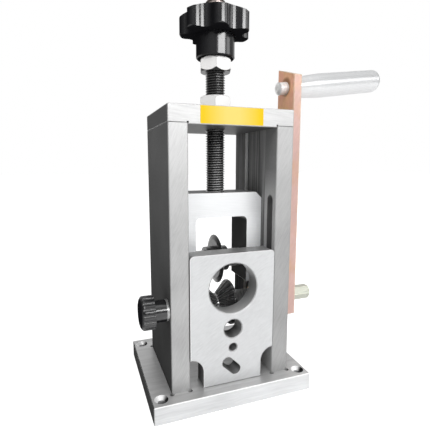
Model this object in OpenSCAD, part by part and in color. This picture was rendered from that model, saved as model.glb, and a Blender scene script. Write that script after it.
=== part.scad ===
// Hand crank wire stripper. Origin at the middle of the base's underside.
// X runs to the crank side, Y to the back, Z up. All lengths in millimetres.

/* [Base plate] */
// Width of the base plate
base_w = 132; // [122:1:170]
// Depth of the base plate
base_d = 108; // [104:1:140]
// Thickness of the base plate
base_h = 14.4; // [13:0.2:18]
// How far the base reaches in front of the side plates
base_lip = 11.6; // [10:0.2:14]
// Depth of the pockets that the side plates stand in
pocket_cut = 3; // [2:0.25:4]
// Diameter of the relief drilled in each pocket corner
relief_d = 4; // [3:0.25:5]
// Bench bolt hole, diameter
bench_hole_d = 5.5; // [4:0.25:6.5]
// Bench bolt hole, countersink diameter
bench_sink_d = 10.6; // [8.5:0.2:12]
// Bench bolt hole, distance from the side edge of the base
bench_in_x = 7.2; // [6.5:0.1:8]
// Bench bolt hole, distance from the front or back edge of the base
bench_in_y = 8.8; // [7.5:0.1:10]

/* [Frame] */
// Width over the two side plates
frame_w = 100; // [94:1:106]
// Height of the frame above the bench
frame_h = 230; // [222:1:250]
// Thickness of the side plates
side_t = 14.4; // [13:0.2:15]
// Depth of the side plates, front to back
side_d = 79.5; // [76:0.5:84]
// Thickness of the top plate
top_t = 13.8; // [12.5:0.2:16]
// Depth of the steps in the top plate that the side plates enter
rabbet_cut = 1.3; // [0.8:0.1:2]
// Radius of the relief at the inner corner of each step
rabbet_relief_r = 0.8; // [0.5:0.1:1.2]
// Chamfer along the edges of the plates
edge_cut = 0.5; // [0.3:0.1:0.8]
// From the front of the frame back to the screw and the crank axis
axis_in = 41; // [39:0.5:43]
// Height of the crank axis above the bench
crank_z = 65.2; // [62:0.4:68]
// Width of the yoke's guide channel in each side plate
channel_w = 33.4; // [32:0.2:35]
// Depth of the yoke's guide channel
channel_cut = 3; // [2:0.25:4]

/* [Screws of the frame] */
// Thread diameter of the frame screws
screw_d = 6; // [5:0.5:6]
// Head diameter of the frame screws
screw_head_d = 10; // [8.5:0.5:10]
// Head height of the frame screws
screw_head_h = 6; // [5:0.5:6]
// Length of the frame screws below the head
screw_len = 22; // [18:1:26]
// Width across the flats of the frame screws' sockets
screw_hex = 5; // [4:0.5:5]
// From the front or back of a side plate to its frame screws
screw_in = 14; // [11:0.5:15]

/* [Guide plate] */
// Height of the guide plate
guide_h = 106.2; // [102:0.2:110]
// Thickness of the guide plate
guide_t = 15; // [14:0.25:16]
// How far the guide plate stands proud of the frame's front
guide_proud = 1; // [0:0.1:1.5]
// Radius of the guide plate's upper corners
guide_corner_r = 3.5; // [2:0.25:5]
// Width of the notch at each lower corner
notch_w = 10.6; // [8:0.2:12]
// Height of the notch at each lower corner
notch_h = 24.2; // [21:0.2:27]
// Diameter of the large wire hole
big_hole_d = 40; // [36:0.5:42]
// Height of the large hole's middle above the plate's foot
big_hole_up = 77.9; // [75:0.1:80]
// Diameter of the medium wire hole
mid_hole_d = 15; // [12:0.5:16]
// Height of the medium hole's middle above the plate's foot
mid_hole_up = 45; // [44:0.1:46]
// Diameter of the small wire hole
small_hole_d = 6.6; // [5.5:0.1:7]
// Height of the small hole's middle above the plate's foot
small_hole_up = 29.4; // [29:0.1:30]
// Width of the slanted slot for flat cable
flat_slot_w = 9; // [7:0.25:9.5]
// Distance between the ends' centres of the slanted slot
flat_slot_run = 9.2; // [7:0.2:10]
// How far the slanted slot's middle sits to the left
flat_slot_side = 1.3; // [0:0.1:2]
// Height of the slanted slot's middle above the plate's foot
flat_slot_up = 14; // [13:0.1:15]
// Tilt of the slanted slot below the level
flat_slot_tilt = 44; // [30:1:60]
// Chamfer round the wire holes
hole_cut = 0.7; // [0.3:0.1:1]
// How far the guide plate slides up
guide_travel = 55; // [48:1:57]
// Diameter of the guide pins
guide_pin_d = 8; // [6.5:0.25:8]
// From the plate's top down to the guide pins
guide_pin_drop = 16.3; // [13:0.1:20]
// How far a guide pin reaches into its slot
guide_pin_out = 4.4; // [3:0.2:5]
// How deep a guide pin sits in the plate
guide_pin_in = 6; // [5:0.5:7]
// Depth of the blind slots in the side plates
slot_cut = 5; // [4.8:0.1:6]
// From the front of the frame back to the middle of the slots
slot_in = 9.2; // [8.8:0.1:9.4]

/* [Guide clamp] */
// Height of the clamp stud above the bench
clamp_z = 78.6; // [74:0.2:84]
// Thread diameter of the clamp stud
stud_d = 8; // [6:0.5:10]
// Diameter of the clamp knob's fluted head
clamp_head_d = 25.6; // [23:0.2:28]
// Length of the clamp knob's fluted head
clamp_head_h = 10.9; // [9:0.1:14]
// Depth of the clamp knob's domed end
clamp_dome_h = 3.4; // [1.5:0.1:4.5]
// Diameter of the clamp knob's collar
clamp_collar_d = 16.6; // [15:0.2:20]
// Length of the clamp knob's collar
clamp_collar_h = 9; // [6:0.2:11]
// Number of flutes round the clamp knob
clamp_flutes = 18; // [12:1:24]
// Radius of a flute
clamp_flute_r = 1.7; // [1.2:0.1:1.8]
// Thickness of the clamp washer
clamp_washer_t = 1.8; // [1:0.1:2.4]
// Diameter of the clamp washer
clamp_washer_d = 16.6; // [14:0.2:20]

/* [Blade yoke] */
// Room between the blade and the top of the yoke's window
window_room = 17.8; // [15:0.2:20]
// Thickness of the yoke's top bar
yoke_bar_h = 20; // [18:0.5:22]
// From the blade axle down to the yoke's feet
yoke_foot_drop = 18; // [15:0.2:18.4]
// Width of the yoke's window
window_w = 45; // [43:0.5:46]
// Radius of the window's corners
window_r = 4; // [2:0.25:6]
// Chamfer at the yoke's upper corners
yoke_cut = 7.5; // [5:0.5:9]
// Height of the blade's edge above the roller's rim
blade_gap = 0.2; // [0.1:0.1:1.2]
// How far the yoke can rise from where it stands
yoke_rise = 50; // [44:1:50]
// How far the yoke can sink from where it stands
yoke_sink = 9.6; // [7:0.2:9.8]

/* [Blade] */
// Diameter of the round blade
blade_d = 42; // [38:0.5:43]
// Thickness of the blade
blade_t = 3; // [2.4:0.1:3.6]
// Width of the ground bevel
bevel_w = 4; // [3:0.25:5]
// Thickness of the cutting edge
edge_t = 0.3; // [0.2:0.05:0.5]
// Diameter of the blade axle
axle_d = 10; // [8:0.5:11]
// Diameter of the clamping flanges
flange_d = 22; // [20:0.5:23]
// Width over both flanges
flange_w = 19; // [16:0.5:20]
// Diameter of the hub's sleeve that the blade sits on
hub_d = 15; // [13.5:0.5:17]
// Diameter of the spacers beside the hub
spacer_d = 16; // [13.5:0.5:18]

/* [Feed screw] */
// Thread diameter of the feed screw
rod_d = 16; // [14:0.5:17]
// Pitch of the feed screw's thread
rod_pitch = 2; // [1.5:0.25:2.5]
// How far the feed screw reaches out of the star knob
rod_out = 7.2; // [5:0.2:12]
// Thread that shows between lock nut and jam nut
thread_show = 19.2; // [14:0.2:22]
// Diameter of the screw at its retaining groove
groove_d = 12; // [10:0.25:12.5]
// Width of the retaining groove
groove_w = 4.6; // [4.2:0.1:5]
// Diameter of the pins that hold the screw in the yoke
screw_pin_d = 4; // [3:0.1:4]
// Width across the flats of the nuts on the screw
nut_w = 24; // [22:0.5:26]
// Height of the nuts on the screw
nut_h = 13; // [10:0.2:14]
// Height of the nut under the knob
jam_nut_h = 10.4; // [8:0.1:13]
// Turn of the jam nut about the screw
jam_turn = 13; // [0:1:59]
// Turn of the lock nut about the screw
lock_turn = 9.6; // [0:0.2:59]

/* [Star knob] */
// Diameter of the knob's hub
knob_hub_d = 31.4; // [28:0.2:34]
// Length of the hub below the lobes
knob_neck_h = 18.1; // [14:0.1:22]
// Height of the knob's lobes
knob_lobe_h = 14.4; // [12:0.2:18]
// Diameter over the lobes
knob_d = 58.4; // [54:0.2:62]
// Number of lobes
knob_lobes = 7; // [6:1:8]
// Radius of one lobe
lobe_r = 6.2; // [5.5:0.1:7]
// Radius of the hollow between two lobes
hollow_r = 6.1; // [5:0.1:7]
// Rise of the knob's domed top above its lobes
knob_crown_h = 5; // [2:0.1:6]
// Rounding of the knob's edges
knob_round = 1.8; // [1:0.1:2.5]
// Turn of the star knob about the screw
knob_turn = -100.8; // [-180:0.2:180]
// Diameter of the steel bush moulded into the knob
knob_bush_d = 22; // [20:0.5:24]
// Length of the steel bush moulded into the knob
knob_bush_h = 24; // [20:0.5:28]

/* [Drive] */
// Diameter of the drive shaft
shaft_d = 12; // [11:0.25:13]
// Outer diameter of the shaft bushes
bush_d = 18; // [16:0.5:20]
// Diameter of the bushes' flanges
bush_flange_d = 23; // [21:0.5:24]
// Thickness of the bushes' flanges
bush_flange_t = 2.4; // [1.8:0.1:2.7]
// Diameter of the feed roller
roller_d = 40; // [37:0.5:41]
// Width of the feed roller
roller_w = 28; // [26:0.5:30]
// Diameter at the bottom of the roller's groove
groove_floor_d = 18; // [17:0.25:19]
// Width of the groove's flat floor
groove_floor_w = 2; // [1.5:0.25:3]
// Width of the roller's groove at its mouth
groove_mouth_w = 24; // [20:0.5:25]
// Number of teeth round the roller
roller_teeth = 24; // [16:1:30]
// Depth of the gaps between the roller's teeth
tooth_cut = 1.2; // [0.8:0.1:1.6]
// Side of the square key between shaft and roller
key_w = 4; // [3:0.25:4]
// Length of the key
key_len = 20; // [14:0.5:24]
// Diameter of the sleeves on the shaft beside the roller
sleeve_d = 19; // [16:0.5:20]

/* [Crank] */
// Thickness of the crank arm
arm_t = 8; // [7:0.25:10]
// Width of the crank arm
arm_w = 27; // [24:0.5:30]
// Length of the crank, shaft to grip bolt
crank_r = 190; // [150:1:210]
// From the shaft to the crank arm's lower end
arm_foot = 15; // [13:0.5:18]
// From the grip bolt to the crank arm's upper corner
arm_head = 17.7; // [14:0.1:20]
// How far the crank arm's upper end slants down to the front
arm_fall = 8.7; // [0:0.1:10]
// Chamfer along the crank arm's edges
arm_cut = 0.7; // [0.4:0.1:1]
// How far the shaft's hexagon reaches past the arm
hex_out = 21.4; // [16:0.2:28]
// Width across the flats of the hexagon
hex_w = 12; // [11:0.25:13]
// Diameter of the sleeve between side plate and arm
arm_spacer_d = 22; // [18:0.5:24]
// Diameter of the screw that locks the arm on the hexagon
grub_d = 5; // [4:0.5:6]

/* [Grip] */
// Lean of the grip away from square to the arm
grip_lean = 8; // [0:0.5:10]
// Length of the grip
grip_len = 90; // [80:1:105]
// Diameter of the grip's neck at the arm
grip_neck_d = 18.4; // [17:0.2:20]
// Largest diameter of the grip
grip_d = 21.2; // [20.2:0.2:24]
// Diameter of the grip near its outer end
grip_end_d = 20.4; // [19:0.2:22]
// Rounding of the grip's outer end
grip_round = 5; // [3:0.25:6]
// Diameter of the bolt that the grip turns on
bolt_d = 8; // [6:0.25:9]
// Diameter of the bolt's head
bolt_head_d = 13; // [11:0.25:13.5]
// Height of the bolt's head
bolt_head_h = 8; // [6:0.25:9]
// Width across the flats of the bolt's socket
bolt_hex = 6; // [5:0.25:6.5]
// Depth of the hollow in the grip that holds the bolt's head
head_hollow_h = 12; // [11:0.25:16]
// Diameter of the bolt's tail behind the arm
tail_d = 11; // [9.5:0.25:12]
// Length of the bolt's tail behind the arm
tail_h = 10; // [6:0.2:12]
// Height of the tail's domed end
tail_dome_h = 2.4; // [1:0.1:4]
// Diameter of the washer between arm and grip
grip_washer_d = 19.6; // [17:0.2:22]
// Thickness of the washer between arm and grip
grip_washer_t = 1.2; // [0.8:0.1:2]

/* [Fits] */
// Gap between pieces that slide past each other
gap = 0.3; // [0.25:0.01:0.4]
// Radial clearance of a turning fit
run_gap = 0.05; // [0.03:0.01:0.08]
// Radial clearance of a drilled hole round a screw
drill_gap = 0.3; // [0.2:0.05:0.4]

/* [Hidden] */

// Facets of round pieces and of small round pieces
$fn = 96;
small_fn = 48;
// Overrun of cutting shapes past the surface that they cut
over = 1;

// Places shared by the pieces
front_y = base_lip - base_d / 2;
back_y = front_y + side_d;
axis_y = front_y + axis_in;
outer_x = frame_w / 2;
inner_x = outer_x - side_t;
channel_x = inner_x + channel_cut;
side_foot_z = base_h - pocket_cut;
top_foot_z = frame_h - top_t;
side_top_z = top_foot_z + rabbet_cut;
slot_y = front_y + slot_in;

// Frame screws
screw_x = outer_x - side_t / 2;
sink_d = screw_head_d + 2 * drill_gap;
sink_h = screw_head_h + drill_gap;
socket_h = screw_head_h / 2;
tap_slack = 2;

// Guide plate
guide_w = 2 * (inner_x - gap);
guide_z = base_h + gap;
guide_front_y = front_y - guide_proud;
guide_back_y = guide_front_y + guide_t;
pin_z = guide_z + guide_h - guide_pin_drop;
slot_w = guide_pin_d + 2 * gap;

// Guide clamp
stud_tip_x = inner_x;
washer_x = outer_x + gap;
collar_x = washer_x + clamp_washer_t;
head_x = collar_x + clamp_collar_h;
knob_end_x = head_x + clamp_head_h;
stud_end_x = head_x + clamp_head_h / 2;
dome_share = 0.5;
dome_step = 15;
flute_sink_share = 0.5;

// Blade yoke
blade_z = crank_z + roller_d / 2 + blade_gap + blade_d / 2;
yoke_foot_z = blade_z - yoke_foot_drop;
window_top_z = blade_z + blade_d / 2 + window_room;
yoke_top_z = window_top_z + yoke_bar_h;
yoke_x = channel_x - gap;
yoke_t = channel_w - 2 * gap;
yoke_front_y = axis_y - yoke_t / 2;
yoke_back_y = axis_y + yoke_t / 2;
rod_seat_h = 2.8;
rod_foot_z = window_top_z + rod_seat_h;
groove_up = 9;
groove_z = rod_foot_z + groove_up;
pin_short = 4.8;
pin_hole_len = yoke_t - pin_short;
pin_sunk = 0.6;
leg_mid_x = (window_w / 2 + yoke_x) / 2;
axle_grub_d = 5;
axle_grub_sunk = 1.5;
axle_short = 0.4;

// Feed screw, from the lock nut up to its end
rod_chamfer = 1.5;
nut_chamfer_share = 0.08;
lock_nut_z = frame_h + run_gap;
jam_nut_z = lock_nut_z + nut_h + thread_show;
knob_z = jam_nut_z + jam_nut_h;
lobe_z = knob_z + knob_neck_h;
knob_top_z = lobe_z + knob_lobe_h;
crown_top_z = knob_top_z + knob_crown_h;
rod_top_z = crown_top_z + rod_out;

// Star knob: a hollow cuts a hair into the two lobes beside it, so that their arcs cross
hollow_bite = 0.03;
lobe_mid_r = knob_d / 2 - lobe_r;
lobe_step = 360 / knob_lobes;
hollow_run = sqrt(pow(lobe_r + hollow_r - hollow_bite, 2) - pow(lobe_mid_r * sin(lobe_step / 2), 2));
hollow_mid_r = lobe_mid_r * cos(lobe_step / 2) + hollow_run;
// The rounded section stays a hair clear of the lobes' peaks
lobe_room = 0.1;
crown_flat_r = 10;
crown_power = 1.6;
crown_steps = 5;

// Drive
arm_x = base_w / 2 + gap;
shaft_short = 1;
shaft_end_x = outer_x - shaft_short;
hex_end_x = arm_x + arm_t + hex_out;
hex_start_x = arm_x;
hex_chamfer = 1.2;
sleeve_end_x = channel_x - bush_flange_t - gap;

// Crank and grip
bolt_z = crank_z + crank_r;
arm_mid_x = arm_x + arm_t / 2;
arm_slant = atan2(arm_fall, arm_w);
face_rise = tan(grip_lean) * arm_t / 2;
seat_out = arm_t / 2 / cos(grip_lean) - face_rise / 2;
grip_out = seat_out + grip_washer_t + gap;
grip_end_out = grip_out + grip_len;
head_out = grip_end_out - head_hollow_h;
grip_swell_share = 0.3;
grip_steps = 24;

// A block between two corners
module block(a, b) {
    translate(a) cube(b - a);
}

// A chamfered rectangle for the outline of a plate
module cut_rectangle(w, d, c) {
    polygon([[c, 0], [w - c, 0], [w, c], [w, d - c], [w - c, d], [c, d], [0, d - c], [0, c]]);
}

// A plate between two corners, every edge chamfered by c
module plate(a, b, c) {
    s = b - a;
    translate(a) intersection() {
        linear_extrude(s.z) cut_rectangle(s.x, s.y, c);
        translate([0, s.y, 0]) rotate([90, 0, 0]) linear_extrude(s.y) cut_rectangle(s.x, s.z, c);
        rotate([90, 0, 90]) linear_extrude(s.x) cut_rectangle(s.y, s.z, c);
    }
}

// Turns a shape made along Z so that it lies along X
module along_x(x, y, z) {
    translate([x, y, z]) rotate([0, 90, 0]) children();
}

// A rod along X between two places
module x_rod(x0, x1, y, z, d) {
    along_x(x0, y, z) cylinder(d = d, h = x1 - x0);
}

// A rod along Y between two places
module y_rod(y0, y1, x, z, d) {
    translate([x, y1, z]) rotate([90, 0, 0]) cylinder(d = d, h = y1 - y0);
}

// A ring along X between two places
module x_ring(x0, x1, y, z, outer_d, bore_d) {
    difference() {
        x_rod(x0, x1, y, z, outer_d);
        x_rod(x0 - over, x1 + over, y, z, bore_d);
    }
}

// A hexagonal bar standing on the level, w across its flats
module hex_bar(w, h) {
    cylinder(d = w / cos(30), h = h, $fn = 6);
}

// Socket head screw with its head's top on the level, pointing down
module socket_screw(d, head_d, head_h, len, hex_w, socket_h) {
    difference() {
        union() {
            translate([0, 0, -head_h]) cylinder(d = head_d, h = head_h, $fn = small_fn);
            translate([0, 0, -head_h - len]) cylinder(d = d, h = len + over / 2, $fn = small_fn);
        }
        translate([0, 0, -socket_h]) hex_bar(hex_w, socket_h + over);
    }
}

// Headless screw with a socket at the level, pointing down
module grub_screw(d, len) {
    socket = d / 2;
    difference() {
        translate([0, 0, -len]) cylinder(d = d, h = len, $fn = small_fn);
        translate([0, 0, -socket]) hex_bar(socket, socket + over);
    }
}

// The four frame screw places at one level
module at_frame_screws(z) {
    for (x = [-screw_x, screw_x], y = [front_y + screw_in, back_y - screw_in]) {
        translate([x, y, z]) children();
    }
}

// The four bench bolt places
module at_bench_bolts() {
    hole_x = base_w / 2 - bench_in_x;
    hole_y = base_d / 2 - bench_in_y;
    for (x = [-hole_x, hole_x], y = [-hole_y, hole_y]) {
        translate([x, y, 0]) children();
    }
}

// Pocket for one side plate, with drilled corners
module base_pocket() {
    block([inner_x, front_y, side_foot_z], [outer_x, back_y, base_h + over]);
    for (x = [inner_x, outer_x], y = [front_y, back_y]) {
        translate([x, y, side_foot_z]) cylinder(d = relief_d, h = pocket_cut + over, $fn = small_fn);
    }
}

// Base: bench plate with pockets, bench bolt holes and sunk screw holes
module base_plate() {
    sink_cone_h = (bench_sink_d - bench_hole_d) / 2;
    color([0.80, 0.81, 0.82]) difference() {
        plate([-base_w / 2, -base_d / 2, 0], [base_w / 2, base_d / 2, base_h], edge_cut);
        base_pocket();
        mirror([1, 0, 0]) base_pocket();
        at_bench_bolts() {
            translate([0, 0, -over]) cylinder(d = bench_hole_d, h = base_h + 2 * over, $fn = small_fn);
            translate([0, 0, base_h - sink_cone_h]) {
                cylinder(d1 = bench_hole_d, d2 = bench_sink_d, h = sink_cone_h, $fn = small_fn);
                translate([0, 0, sink_cone_h]) cylinder(d = bench_sink_d, h = over, $fn = small_fn);
            }
        }
        at_frame_screws(0) {
            translate([0, 0, -over]) {
                cylinder(d = screw_d + 2 * drill_gap, h = base_h + over, $fn = small_fn);
                cylinder(d = sink_d, h = sink_h + over, $fn = small_fn);
            }
        }
    }
}

// Blind slot that a guide pin runs in
module pin_slot() {
    low_z = pin_z;
    high_z = pin_z + guide_travel;
    depth = slot_cut + over;
    block([inner_x - over, slot_y - slot_w / 2, low_z], [inner_x + slot_cut, slot_y + slot_w / 2, high_z]);
    x_rod(inner_x - over, inner_x - over + depth, slot_y, low_z, slot_w);
    x_rod(inner_x - over, inner_x - over + depth, slot_y, high_z, slot_w);
}

// Right side plate: guide channel, pin slot, bush seat and tapped ends
module side_plate_right_hand() {
    tap_len = screw_len + tap_slack;
    base_grip = base_h - pocket_cut - sink_h;
    top_grip = frame_h - side_top_z - sink_h;
    difference() {
        plate([inner_x, front_y, side_foot_z], [outer_x, back_y, side_top_z], edge_cut);
        block([inner_x - over, axis_y - channel_w / 2, side_foot_z - over],
              [channel_x, axis_y + channel_w / 2, side_top_z + over]);
        pin_slot();
        x_rod(inner_x - over, outer_x + over, axis_y, crank_z, bush_d);
        at_frame_screws(side_foot_z - over) cylinder(d = screw_d, h = tap_len - base_grip + over, $fn = small_fn);
        at_frame_screws(side_top_z + over) mirror([0, 0, 1])
            cylinder(d = screw_d, h = tap_len - top_grip + over, $fn = small_fn);
    }
}

// Left side plate: the same plate mirrored, tapped for the clamp stud
module left_side_plate() {
    color([0.78, 0.79, 0.80]) difference() {
        mirror([1, 0, 0]) side_plate_right_hand();
        x_rod(-outer_x - over, -inner_x + over, slot_y, clamp_z, stud_d + 2 * run_gap);
    }
}

module right_side_plate() {
    color([0.78, 0.79, 0.80]) side_plate_right_hand();
}

// Step in the top plate that one side plate enters
module top_step() {
    block([inner_x, front_y - over, top_foot_z - over], [outer_x + over, back_y + over, side_top_z]);
    y_rod(front_y - over, back_y + over, inner_x, side_top_z, 2 * rabbet_relief_r);
}

// Top plate: bored for the feed screw, stepped over the side plates
module top_plate() {
    color([0.82, 0.83, 0.84]) difference() {
        plate([-outer_x, front_y, top_foot_z], [outer_x, back_y, frame_h], edge_cut);
        top_step();
        mirror([1, 0, 0]) top_step();
        translate([0, axis_y, top_foot_z - over]) cylinder(d = rod_d + 2 * run_gap, h = top_t + 2 * over);
        at_frame_screws(top_foot_z - over) cylinder(d = screw_d + 2 * drill_gap, h = top_t + 2 * over, $fn = small_fn);
        at_frame_screws(frame_h - sink_h) cylinder(d = sink_d, h = sink_h + over, $fn = small_fn);
    }
}

module frame_screw() {
    socket_screw(screw_d, screw_head_d, screw_head_h, screw_len, screw_hex, socket_h);
}

module base_screws() {
    color([0.25, 0.25, 0.27]) at_frame_screws(sink_h - screw_head_h) mirror([0, 0, 1]) frame_screw();
}

module top_screws() {
    color([0.25, 0.25, 0.27]) at_frame_screws(frame_h - sink_h + screw_head_h) frame_screw();
}

// Flanged plain bush in the right side plate
module shaft_bush() {
    difference() {
        union() {
            x_rod(channel_x - over / 2, outer_x, axis_y, crank_z, bush_d);
            x_rod(channel_x - bush_flange_t, channel_x, axis_y, crank_z, bush_flange_d);
        }
        x_rod(inner_x - over, outer_x + over, axis_y, crank_z, shaft_d + 2 * run_gap);
    }
}

module left_shaft_bush() {
    color([0.72, 0.55, 0.30]) mirror([1, 0, 0]) shaft_bush();
}

module right_shaft_bush() {
    color([0.72, 0.55, 0.30]) shaft_bush();
}

// Outline of the guide plate, middle of its foot at the origin
module guide_outline() {
    w = guide_w / 2;
    r = guide_corner_r;
    difference() {
        union() {
            translate([-w, 0]) square([2 * w, guide_h - r]);
            translate([-w + r, 0]) square([2 * (w - r), guide_h]);
            for (x = [-w + r, w - r]) {
                translate([x, guide_h - r]) circle(r = r);
            }
        }
        for (side = [-1, 1]) {
            translate([side * w, 0]) notch_outline();
        }
    }
}

// Notch at a lower corner, its inner corner rounded by the notch's own width
module notch_outline() {
    straight = notch_h - notch_w;
    translate([-notch_w, -over]) square([2 * notch_w, straight + over]);
    translate([0, straight]) circle(r = notch_w);
}

// Wire hole through the guide plate, chamfered at both faces
module wire_hole(d, up) {
    translate([0, guide_back_y, guide_z + up]) rotate([90, 0, 0]) {
        translate([0, 0, -over]) cylinder(d = d, h = guide_t + 2 * over);
        cylinder(d1 = d + 2 * hole_cut, d2 = d, h = hole_cut);
        translate([0, 0, guide_t - hole_cut]) cylinder(d1 = d, d2 = d + 2 * hole_cut, h = hole_cut);
        translate([0, 0, guide_t]) cylinder(d = d + 2 * hole_cut, h = over);
        translate([0, 0, -over]) cylinder(d = d + 2 * hole_cut, h = over);
    }
}

// Slanted slot for flat cable
module flat_slot() {
    run = flat_slot_run / 2;
    translate([-flat_slot_side, guide_back_y + over, guide_z + flat_slot_up]) rotate([90, flat_slot_tilt, 0]) {
        for (x = [-run, run]) {
            translate([x, 0, 0]) cylinder(d = flat_slot_w, h = guide_t + 2 * over, $fn = small_fn);
        }
        translate([-run, -flat_slot_w / 2, 0]) cube([2 * run, flat_slot_w, guide_t + 2 * over]);
    }
}

// Guide plate: four wire openings, notched foot, pin holes in its edges
module guide_plate() {
    pin_x = guide_w / 2 - guide_pin_in;
    color([0.84, 0.85, 0.86]) difference() {
        translate([0, guide_back_y, guide_z]) rotate([90, 0, 0]) linear_extrude(guide_t) guide_outline();
        wire_hole(big_hole_d, big_hole_up);
        wire_hole(mid_hole_d, mid_hole_up);
        wire_hole(small_hole_d, small_hole_up);
        flat_slot();
        for (side = [0, 1]) {
            mirror([side, 0, 0]) x_rod(pin_x, guide_w / 2 + over, slot_y, pin_z, guide_pin_d);
        }
    }
}

module guide_pins() {
    pin_x = guide_w / 2 - guide_pin_in;
    color([0.62, 0.63, 0.65]) for (side = [0, 1]) {
        mirror([side, 0, 0]) x_rod(pin_x, inner_x + guide_pin_out, slot_y, pin_z, guide_pin_d);
    }
}

// Half section of the clamp knob: radius against distance from the frame
module clamp_section() {
    r = clamp_head_d / 2;
    c = clamp_collar_d / 2;
    dome = [for (a = [0 : dome_step : 90]) [r * pow(cos(a), dome_share), knob_end_x + clamp_dome_h * (sin(a) - 1)]];
    polygon(concat([[0, collar_x], [c, collar_x], [c, head_x], [r, head_x]], dome));
}

// Fluted clamp knob with a plain collar, bored for its stud
module clamp_knob() {
    r = clamp_head_d / 2;
    sunk_r = r + clamp_flute_r * flute_sink_share;
    color([0.07, 0.07, 0.08]) translate([0, slot_y, clamp_z]) rotate([0, -90, 0]) difference() {
        rotate_extrude() clamp_section();
        for (i = [0 : clamp_flutes - 1]) {
            rotate([0, 0, i * 360 / clamp_flutes]) translate([sunk_r, 0, head_x - over])
                cylinder(r = clamp_flute_r, h = clamp_head_h + 2 * over, $fn = small_fn / 2);
        }
        translate([0, 0, collar_x - over]) cylinder(d = stud_d, h = stud_end_x - collar_x + over);
    }
}

module clamp_stud() {
    color([0.60, 0.60, 0.62]) x_rod(-stud_end_x, -stud_tip_x, slot_y, clamp_z, stud_d);
}

module clamp_washer() {
    color([0.88, 0.86, 0.86])
        x_ring(-washer_x - clamp_washer_t, -washer_x, slot_y, clamp_z, clamp_washer_d, stud_d + 2 * run_gap);
}

// Outline of the yoke: chamfered upper corners and a window open below
module yoke_outline() {
    w = window_w / 2;
    difference() {
        polygon([[-yoke_x, yoke_foot_z], [yoke_x, yoke_foot_z], [yoke_x, yoke_top_z - yoke_cut],
                 [yoke_x - yoke_cut, yoke_top_z], [-yoke_x + yoke_cut, yoke_top_z],
                 [-yoke_x, yoke_top_z - yoke_cut]]);
        translate([-w, yoke_foot_z - over]) square([2 * w, window_top_z - window_r - yoke_foot_z + over]);
        translate([-w + window_r, yoke_foot_z - over])
            square([2 * (w - window_r), window_top_z - yoke_foot_z + over]);
        for (x = [-w + window_r, w - window_r]) {
            translate([x, window_top_z - window_r]) circle(r = window_r, $fn = small_fn);
        }
    }
}

// Yoke that carries the blade: bored for axle, feed screw, pins and grub screws
module blade_yoke() {
    pin_x = (groove_d + screw_pin_d) / 2 + run_gap;
    color([0.80, 0.81, 0.82]) difference() {
        translate([0, yoke_back_y, 0]) rotate([90, 0, 0]) linear_extrude(yoke_t) yoke_outline();
        x_rod(-yoke_x - over, yoke_x + over, axis_y, blade_z, axle_d);
        translate([0, axis_y, rod_foot_z - run_gap]) cylinder(d = rod_d + 2 * run_gap, h = yoke_bar_h);
        for (x = [-pin_x, pin_x]) {
            y_rod(yoke_back_y - pin_hole_len, yoke_back_y + over, x, groove_z, screw_pin_d);
        }
        for (x = [-leg_mid_x, leg_mid_x]) {
            y_rod(axis_y, yoke_back_y + over, x, blade_z, axle_grub_d);
        }
    }
}

module blade_axle() {
    color([0.66, 0.67, 0.69]) x_rod(-yoke_x + axle_short, yoke_x - axle_short, axis_y, blade_z, axle_d);
}

module axle_grub_screws() {
    len = yoke_t / 2 - axle_d / 2 - axle_grub_sunk;
    color([0.2, 0.2, 0.22]) for (x = [-leg_mid_x, leg_mid_x]) {
        translate([x, yoke_back_y - axle_grub_sunk, blade_z]) rotate([-90, 0, 0]) grub_screw(axle_grub_d, len);
    }
}

module axle_spacers() {
    color([0.70, 0.71, 0.73]) for (side = [0, 1]) {
        mirror([side, 0, 0])
            x_ring(flange_w / 2 + gap, window_w / 2 - run_gap, axis_y, blade_z, spacer_d, axle_d);
    }
}

// Round blade, bevelled to its edge from both faces
module cutting_blade() {
    r = blade_d / 2;
    color([0.30, 0.31, 0.33]) along_x(0, axis_y, blade_z) rotate_extrude() difference() {
        polygon([[0, -blade_t / 2], [r - bevel_w, -blade_t / 2], [r, -edge_t / 2],
                 [r, edge_t / 2], [r - bevel_w, blade_t / 2], [0, blade_t / 2]]);
        translate([0, -blade_t]) square([hub_d / 2, 2 * blade_t]);
    }
}

// Hub of the blade: one flange and the sleeve that blade and ring sit on
module blade_hub() {
    color([0.22, 0.22, 0.24]) difference() {
        union() {
            x_rod(-flange_w / 2, -blade_t / 2, axis_y, blade_z, flange_d);
            x_rod(-blade_t, flange_w / 2, axis_y, blade_z, hub_d);
        }
        x_rod(-flange_w, flange_w, axis_y, blade_z, axle_d + 2 * run_gap);
    }
}

module blade_clamp_ring() {
    color([0.24, 0.24, 0.26]) x_ring(blade_t / 2, flange_w / 2, axis_y, blade_z, flange_d, hub_d);
}

module screw_pins() {
    pin_x = (groove_d + screw_pin_d) / 2 + run_gap;
    color([0.60, 0.61, 0.63]) for (x = [-pin_x, pin_x]) {
        y_rod(yoke_back_y - pin_hole_len, yoke_back_y - pin_sunk, x, groove_z, screw_pin_d);
    }
}

// Half section of the feed screw: radius against height
module rod_section() {
    r = rod_d / 2;
    g = groove_d / 2;
    low = groove_z - groove_w / 2;
    high = groove_z + groove_w / 2;
    polygon([[0, rod_foot_z], [r - rod_chamfer, rod_foot_z], [r, rod_foot_z + rod_chamfer], [r, low],
             [g, low], [g, high], [r, high], [r, rod_top_z - rod_chamfer],
             [r - rod_chamfer, rod_top_z], [0, rod_top_z]]);
}

module feed_screw() {
    color([0.10, 0.10, 0.11]) translate([0, axis_y, 0]) rotate_extrude() rod_section();
}

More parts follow.
